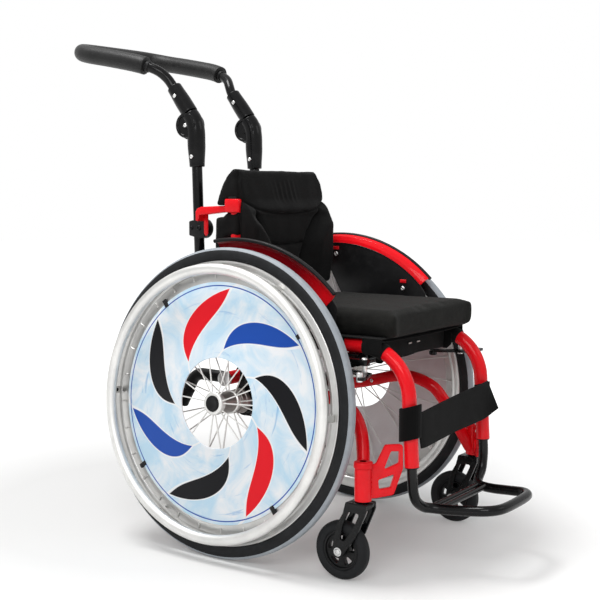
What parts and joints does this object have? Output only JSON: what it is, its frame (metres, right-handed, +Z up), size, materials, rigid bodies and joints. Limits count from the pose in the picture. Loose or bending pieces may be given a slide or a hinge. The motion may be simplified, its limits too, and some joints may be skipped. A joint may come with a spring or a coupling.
{
  "type": "pediatric wheelchair",
  "caption": "Child's rigid-frame wheelchair with cambered spoked wheels, hand rims, spoke guards, swivelling casters, bar footrest, folding backrest and adjustable push bar.",
  "frame": {"origin": "on the floor, under the middle of the chair's bounding box", "axes": "+Z up, the chair faces -Y, +X is the seated child's left"},
  "size_m": [0.5676, 0.9567, 0.9523],
  "materials": {
    "red_paint": "gloss red lacquer",
    "black_coat": "satin black coating",
    "satin_aluminium": "satin anodised",
    "bright_steel": "bright turned",
    "tyre_rubber": "black tread rubber",
    "guard_plastic": "printed clear sheet",
    "black_plastic": "fine grained black",
    "black_fabric": "woven black cloth over foam",
    "grip_foam": "closed cell foam, dark grey"
  },
  "bodies": {
    "frame": {"side_tube_R": "red_paint", "side_tube_L": "red_paint", "lower_tube_R": "red_paint", "lower_tube_L": "red_paint", "caster_housing_R": "red_paint", "caster_housing_L": "red_paint", "rear_plate_R": "black_coat", "rear_plate_L": "black_coat", "tipping_lever_R": "black_plastic", "tipping_lever_L": "black_plastic", "axle_pin_R": "bright_steel", "axle_pin_L": "bright_steel", "side_guard_R": "black_plastic", "side_guard_L": "black_plastic", "fender_R": "red_paint", "fender_L": "red_paint", "axle_tube": "black_coat", "rear_cross_tube": "red_paint", "seat_cross_tube": "black_coat", "seat_sling": "black_fabric", "seat_cushion": "black_fabric", "calf_strap": "black_fabric"},
    "footrest": {"footrest_bar": "black_coat"},
    "backrest": {"back_cane_R": "red_paint", "back_cane_L": "red_paint", "back_bracket_R": "red_paint", "back_bracket_L": "red_paint", "push_clamp_R": "black_plastic", "push_clamp_L": "black_plastic", "backrest_pad": "black_fabric", "backrest_cover": "black_fabric"},
    "push_posts": {"push_tube_R": "black_coat", "push_tube_L": "black_coat", "elbow_lower_R": "black_coat", "elbow_lower_L": "black_coat"},
    "push_handle": {"elbow_upper_R": "black_coat", "elbow_upper_L": "black_coat", "handle_bar": "black_coat", "handle_grip": "grip_foam"},
    "rear_wheel_R": {"rear_tyre_R": "tyre_rubber", "rear_rim_R": "satin_aluminium", "pushrim_R": "satin_aluminium", "hub_spokes_R": "satin_aluminium", "spoke_guard_R": "guard_plastic"},
    "axle_button_R": {"axle_button_R": "black_plastic"},
    "caster_fork_R": {"caster_fork_R": "black_coat"},
    "caster_wheel_R": {"caster_tyre_R": "tyre_rubber", "caster_core_R": "black_plastic"},
    "brake_R": {"brake_lever_R": "black_coat"},
    "rear_wheel_L": {"rear_tyre_L": "tyre_rubber", "rear_rim_L": "satin_aluminium", "pushrim_L": "satin_aluminium", "hub_spokes_L": "satin_aluminium", "spoke_guard_L": "guard_plastic"},
    "axle_button_L": {"axle_button_L": "black_plastic"},
    "caster_fork_L": {"caster_fork_L": "black_coat"},
    "caster_wheel_L": {"caster_tyre_L": "tyre_rubber", "caster_core_L": "black_plastic"},
    "brake_L": {"brake_lever_L": "black_coat"}
  },
  "joints": [
    {"name": "rear_wheel_spin_R", "type": "hinge", "parent": "frame", "child": "rear_wheel_R", "pos_m": [-0.2185, -0.0078, 0.27487], "axis": [0.9965, 0, -0.0837], "continuous": true},
    {"name": "axle_button_press_R", "type": "slide", "parent": "frame", "child": "axle_button_R", "axis": [0.9965, 0, -0.0837], "range_m": [0, 0.0035], "stiffness_N_per_m": 600, "springref_m": -0.003},
    {"name": "caster_swivel_R", "type": "hinge", "parent": "frame", "child": "caster_fork_R", "pos_m": [-0.205, -0.2928, 0.1398], "axis": [0, 0, 1], "continuous": true},
    {"name": "caster_wheel_spin_R", "type": "hinge", "parent": "caster_fork_R", "child": "caster_wheel_R", "pos_m": [-0.205, -0.2538, 0.05], "axis": [1, 0, 0], "continuous": true},
    {"name": "brake_turn_R", "type": "hinge", "parent": "frame", "child": "brake_R", "pos_m": [-0.176, -0.2758, 0.3445], "axis": [0, 0, -1], "range_deg": [0, 9]},
    {"name": "rear_wheel_spin_L", "type": "hinge", "parent": "frame", "child": "rear_wheel_L", "pos_m": [0.2185, -0.0078, 0.27487], "axis": [0.9965, 0, 0.0837], "continuous": true},
    {"name": "axle_button_press_L", "type": "slide", "parent": "frame", "child": "axle_button_L", "axis": [-0.9965, 0, -0.0837], "range_m": [0, 0.0035], "stiffness_N_per_m": 600, "springref_m": -0.003},
    {"name": "caster_swivel_L", "type": "hinge", "parent": "frame", "child": "caster_fork_L", "pos_m": [0.205, -0.2928, 0.1398], "axis": [0, 0, 1], "continuous": true},
    {"name": "caster_wheel_spin_L", "type": "hinge", "parent": "caster_fork_L", "child": "caster_wheel_L", "pos_m": [0.205, -0.2538, 0.05], "axis": [1, 0, 0], "continuous": true},
    {"name": "brake_turn_L", "type": "hinge", "parent": "frame", "child": "brake_L", "pos_m": [0.176, -0.2758, 0.3445], "axis": [0, 0, 1], "range_deg": [0, 9]},
    {"name": "footrest_height", "type": "slide", "parent": "frame", "child": "footrest", "axis": [0, 0.0575, 0.9983], "range_m": [-0.04, 0.025]},
    {"name": "backrest_fold", "type": "hinge", "parent": "frame", "child": "backrest", "pos_m": [0, 0.0422, 0.512], "axis": [1, 0, 0], "range_deg": [0, 88]},
    {"name": "push_bar_height", "type": "slide", "parent": "backrest", "child": "push_posts", "axis": [0, 0.03, 0.9996], "range_m": [-0.05, 0.08]},
    {"name": "push_handle_angle", "type": "hinge", "parent": "push_posts", "child": "push_handle", "pos_m": [0, 0.1702, 0.772], "axis": [1, 0, 0], "range_deg": [-60, 38]}
  ]
}
